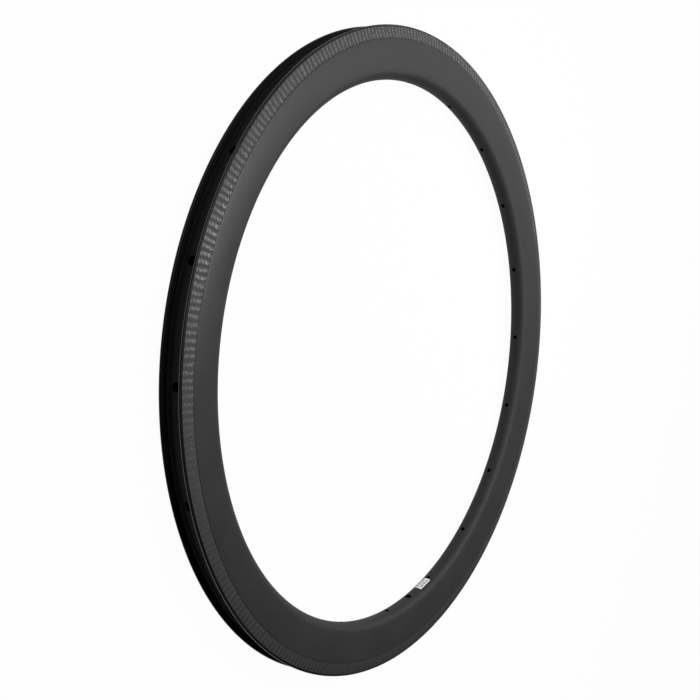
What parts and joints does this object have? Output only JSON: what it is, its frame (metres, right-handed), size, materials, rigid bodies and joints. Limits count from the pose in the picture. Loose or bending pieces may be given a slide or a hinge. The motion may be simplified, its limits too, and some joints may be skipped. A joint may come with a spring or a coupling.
{
  "type": "bicycle rim",
  "caption": "Deep hollow carbon clincher rim for a racing bicycle wheel, with hooked lips, woven brake tracks, a rounded spoke bed and drilled spoke and valve holes.",
  "frame": {"origin": "the wheel's centre, on the axle line at the rim's mid-plane", "axes": "+Z along the axle, the rim lying flat on its other side, and the valve hole on -Y"},
  "size_m": [0.633, 0.633, 0.0274],
  "materials": {
    "carbon": "satin clear coat over black carbon fibre, woven on the brake tracks",
    "label_paper": "matt white paper"
  },
  "bodies": {
    "root": {"rim": "carbon", "size_label": "label_paper"}
  },
  "joints": []
}
